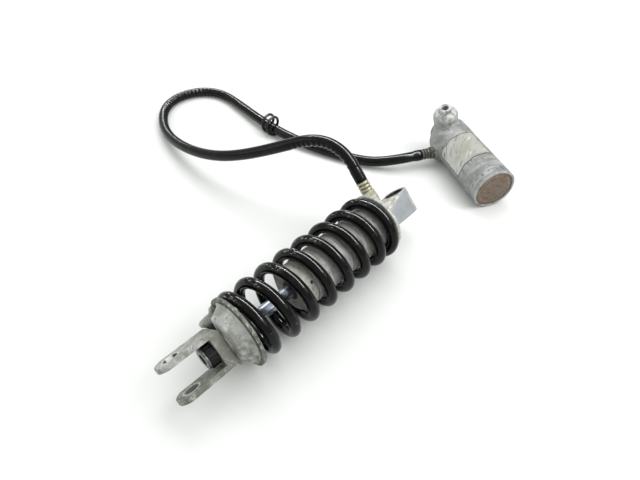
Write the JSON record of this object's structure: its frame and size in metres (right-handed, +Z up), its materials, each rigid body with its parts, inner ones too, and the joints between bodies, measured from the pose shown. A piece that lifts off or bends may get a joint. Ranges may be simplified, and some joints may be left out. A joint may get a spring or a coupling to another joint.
{
  "type": "rear shock absorber",
  "caption": "Coil-over rear shock with a fork at one end, an eye at the other, a damping dial and a hose to a separate cylindrical oil reservoir.",
  "frame": {"origin": "Centre of the upper eye, on the shock axis", "axes": "+X along the shock from the fork to the eye, +Z up from the surface it lies on, +Y to the left"},
  "size_m": [0.4672, 0.4689, 0.1004],
  "materials": {
    "cast_alloy": "weathered casting",
    "turned_alloy": "satin",
    "reservoir_alloy": "scuffed",
    "steel": "bright",
    "pad_steel": "dull grey-green",
    "dark_steel": "blackened",
    "yellow_zinc": "yellow zinc plate",
    "bronze": "plain",
    "rod_chrome": "polished",
    "spring_paint": "gloss black with chips",
    "seal_rubber": "matte",
    "hose_rubber": "satin",
    "tie_wire": "black coat",
    "band_plastic": "filled plastic",
    "dial_plastic": "matte",
    "cover_brown": "rusty brown"
  },
  "bodies": {
    "damper": {"shock_head": "cast_alloy", "eye_bush": "steel", "eye_seals": "seal_rubber", "damper_tube": "turned_alloy", "collar": "turned_alloy", "wiper": "seal_rubber", "oil_seal": "seal_rubber", "guide_bush": "bronze", "seal_head": "turned_alloy", "seal_o_ring": "seal_rubber", "spring": "spring_paint", "head_union": "yellow_zinc", "head_ferrule": "yellow_zinc", "hose": "hose_rubber", "hose_tie": "tie_wire", "reservoir_ferrule": "dark_steel", "reservoir_union": "dark_steel", "reservoir": "reservoir_alloy", "bladder": "seal_rubber", "bladder_cap": "turned_alloy", "cap_o_ring": "seal_rubber", "gas_valve": "bronze", "snap_ring": "steel", "end_cover": "cover_brown"},
    "rod_group": {"rod": "rod_chrome", "fork": "cast_alloy", "lock_nut": "steel", "spring_seat": "cast_alloy", "spring_pad": "pad_steel", "bump_washer": "steel", "bump_rubber": "seal_rubber", "stop_plate": "steel", "rebound_shims": "steel", "piston": "turned_alloy", "piston_band": "band_plastic", "compression_shims": "steel", "piston_nut": "steel", "detent_ball": "steel", "detent_spring": "steel"},
    "dial_group": {"dial": "dial_plastic", "dial_ring": "steel", "needle": "steel"}
  },
  "joints": [
    {"name": "damper_stroke", "type": "slide", "parent": "damper", "child": "rod_group", "axis": [1, 0, 0], "range_m": [0, 0.048], "stiffness_N_per_m": 85000, "springref_m": -0.002, "deforming": ["spring"]},
    {"name": "damping_dial", "type": "hinge", "parent": "rod_group", "child": "dial_group", "pos_m": [-0.25, 0, 0], "axis": [1, 0, 0], "continuous": true}
  ]
}
